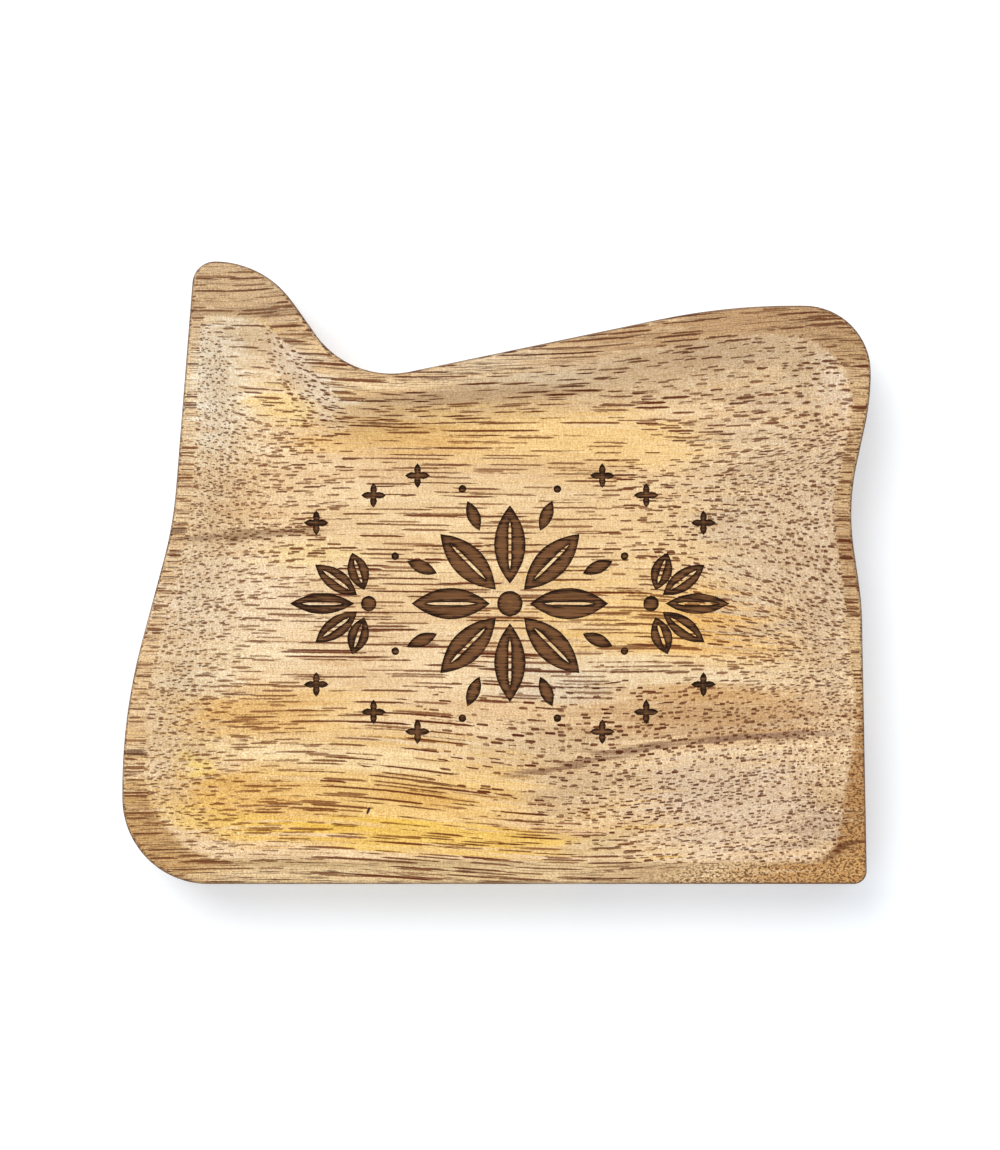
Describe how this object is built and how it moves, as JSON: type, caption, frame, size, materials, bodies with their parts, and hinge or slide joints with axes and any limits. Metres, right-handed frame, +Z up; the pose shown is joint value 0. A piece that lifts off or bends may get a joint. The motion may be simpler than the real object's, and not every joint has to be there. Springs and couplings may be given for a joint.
{
  "type": "trinket dish",
  "caption": "Shallow dish cut from one block of hardwood, with a wavy outline, a flat rim, an arm at one corner and a burnt ornament in its floor.",
  "frame": {"origin": "centre of the bounding box of the underside, on the surface that the dish stands on", "axes": "+X along the wood grain and the long side, away from the arm's side; +Y across the grain, towards the arm's end; +Z up, out of the recess"},
  "size_m": [0.113, 0.094, 0.015],
  "materials": {
    "hardwood": "satin oiled, with dark brown burnt ornament in the floor"
  },
  "bodies": {
    "root": {"dish_body": "hardwood"}
  },
  "joints": []
}
